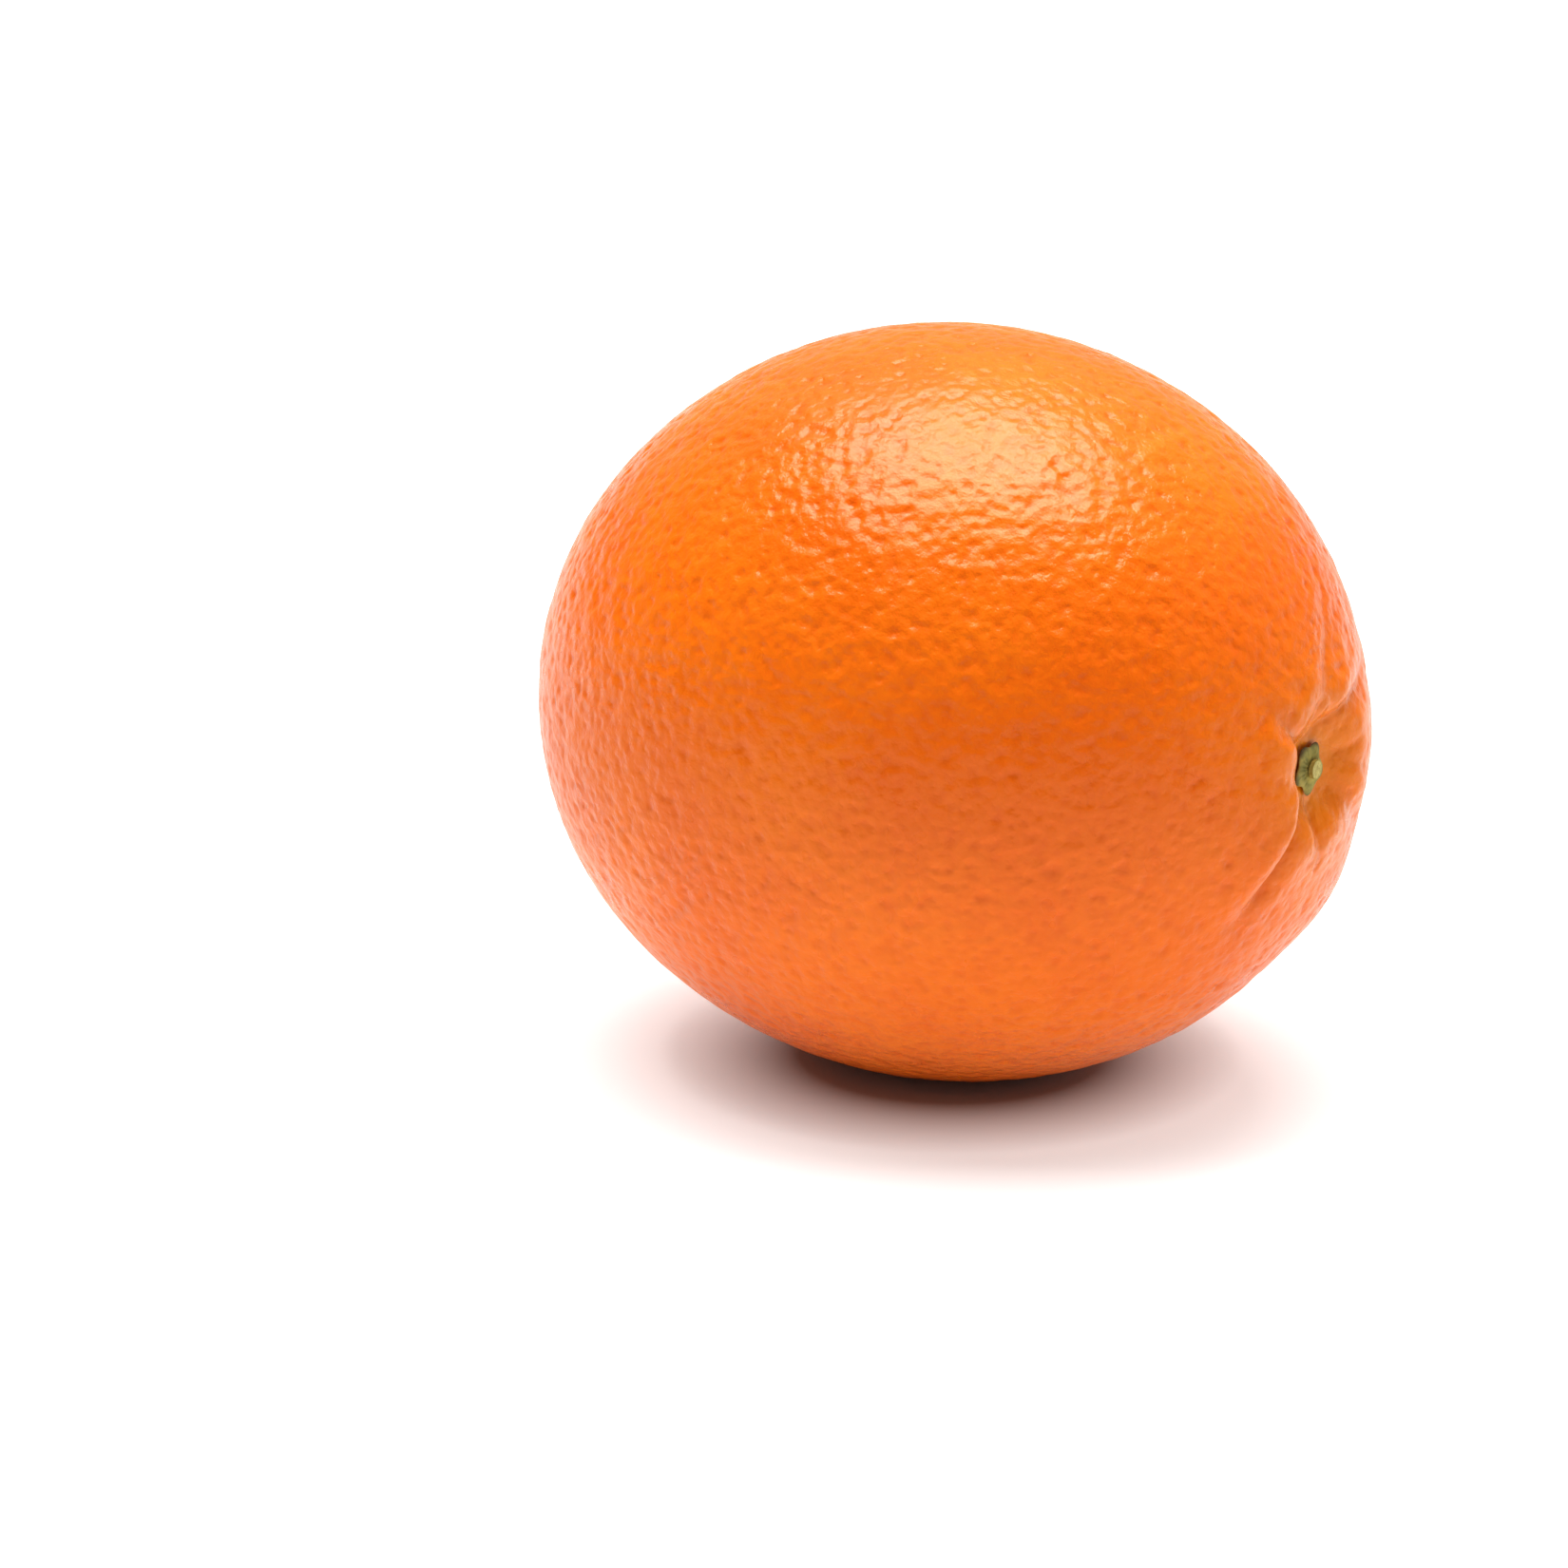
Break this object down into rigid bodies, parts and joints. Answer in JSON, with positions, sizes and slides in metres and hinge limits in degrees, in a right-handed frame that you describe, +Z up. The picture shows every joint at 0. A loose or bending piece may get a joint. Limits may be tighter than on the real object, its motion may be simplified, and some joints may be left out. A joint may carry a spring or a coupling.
{
  "type": "orange",
  "caption": "Whole sweet orange with furrows round its stem end, a green five-lobed calyx and a cut stem stub, lying on a small flat spot.",
  "frame": {"origin": "on the surface that the orange rests on, under the middle of the fruit's box, on the small flat spot", "axes": "+X along the stem axis towards the stem end, +Z up, +Y across"},
  "size_m": [0.0894, 0.0782, 0.0773],
  "materials": {
    "peel": "waxy satin orange peel with fine oil-gland pores",
    "calyx": "dull grey-green dried sepals with brown edges",
    "stem": "matt pale yellow-green cut stem"
  },
  "bodies": {
    "root": {"fruit": "peel", "calyx": "calyx", "stem_stub": "stem"}
  },
  "joints": []
}
